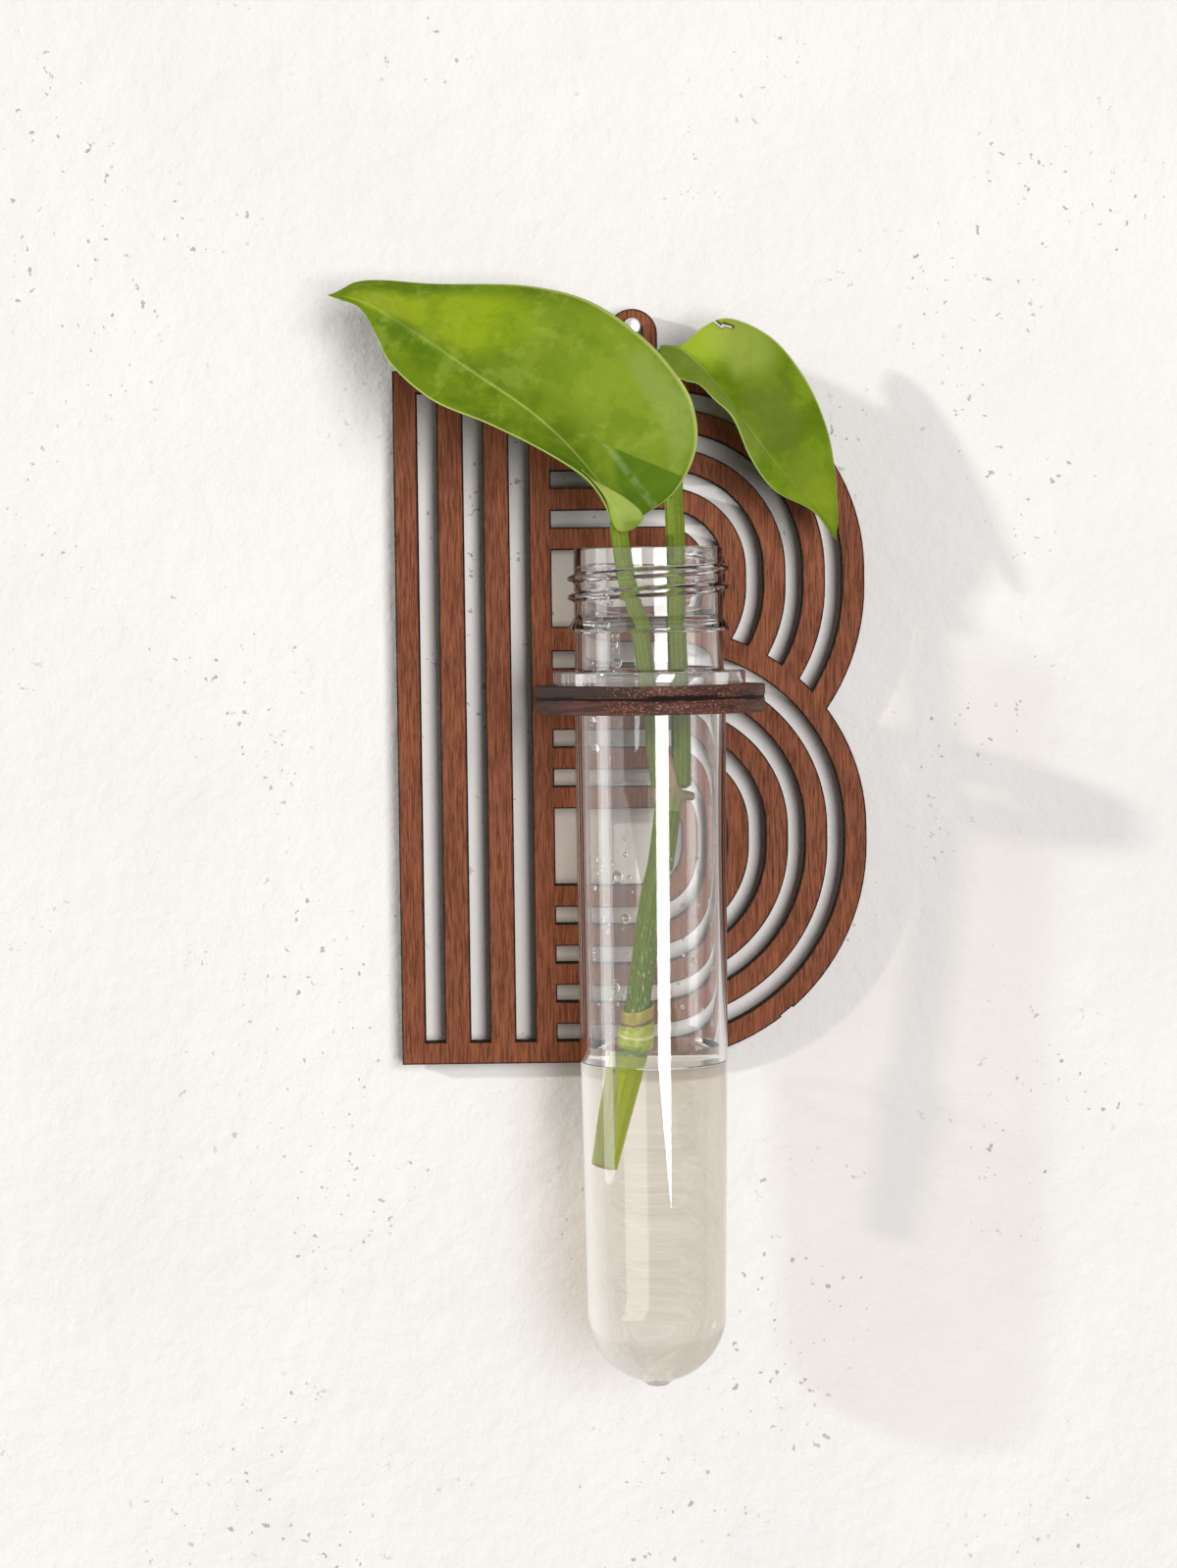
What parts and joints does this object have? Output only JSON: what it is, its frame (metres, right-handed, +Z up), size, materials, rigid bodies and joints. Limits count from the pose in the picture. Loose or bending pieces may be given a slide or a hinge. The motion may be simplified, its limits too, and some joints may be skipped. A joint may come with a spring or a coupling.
{
  "type": "propagation station",
  "caption": "Wall-hung propagation station: a slotted letter panel of dark plywood with a ring bracket that carries a clear screw-neck test tube of water holding a leafy cutting.",
  "frame": {"origin": "centre of the panel's hanging hole, on the wall plane", "axes": "+Z up, +X to the right seen from the room, +Y into the wall, so the panel's front faces -Y"},
  "size_m": [0.0936, 0.0589, 0.1925],
  "materials": {
    "pin_steel": "bright",
    "stained_plywood": "satin stain over an upright grain, with charred cut edges",
    "bracket_plywood": "satin stain, with a charred and layered edge",
    "clear_plastic": "clear and polished",
    "water": "clear liquid, faintly green",
    "stem_green": "waxy plant skin",
    "collar_green": "waxy plant skin with a brown rim",
    "sheath_brown": "dry papery sheath",
    "leaf_green": "glossy thin leaf, lit through"
  },
  "bodies": {
    "pin": {"wall_pin": "pin_steel"},
    "panel": {"letter_panel": "stained_plywood", "tube_bracket": "bracket_plywood"},
    "tube": {"test_tube": "clear_plastic", "water": "water"},
    "cutting": {"stem_lower": "stem_green", "stem_node_collar": "collar_green", "stem_upper": "stem_green", "fork_sheath": "sheath_brown", "left_petiole": "stem_green", "right_petiole": "stem_green", "left_leaf": "leaf_green", "right_leaf": "leaf_green"}
  },
  "joints": [
    {"name": "panel_swing", "type": "hinge", "parent": "pin", "child": "panel", "pos_m": [0, 0, 0.0008], "axis": [0, 1, 0], "range_deg": [-15, 15]},
    {"name": "tube_lift", "type": "slide", "parent": "panel", "child": "tube", "axis": [0, 0, 1], "range_m": [0, 0.125]},
    {"name": "cutting_lift", "type": "slide", "parent": "tube", "child": "cutting", "axis": [0, 0, 1], "range_m": [0, 0.115], "deforming": ["water"]}
  ]
}
